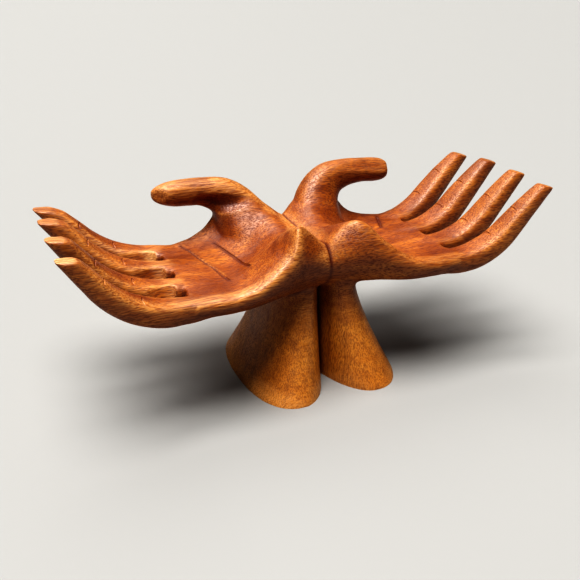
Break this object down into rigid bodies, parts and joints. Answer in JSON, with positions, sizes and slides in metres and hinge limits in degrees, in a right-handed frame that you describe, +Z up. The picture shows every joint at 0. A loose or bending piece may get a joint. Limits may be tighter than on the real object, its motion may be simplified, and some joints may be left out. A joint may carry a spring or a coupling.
{
  "type": "hand jewelry stand",
  "caption": "Carved wooden jewelry stand of upturned hands joined at the wrists, with cupped palms, raised thumbs, curved spread fingers and flared feet that stand flat.",
  "frame": {"origin": "centre of the box round the stand, at the table", "axes": "+X along the hands to the right hand's fingertips, +Y to the thumbs' side, +Z up"},
  "size_m": [0.2822, 0.1061, 0.1057],
  "materials": {
    "stained_wood": "reddish brown stain under a satin lacquer, worn paler on the ridges",
    "dowel_wood": "plain unstained wood"
  },
  "bodies": {
    "root": {"left_hand": "stained_wood", "right_hand": "stained_wood", "upper_dowel": "dowel_wood", "lower_dowel": "dowel_wood"}
  },
  "joints": []
}
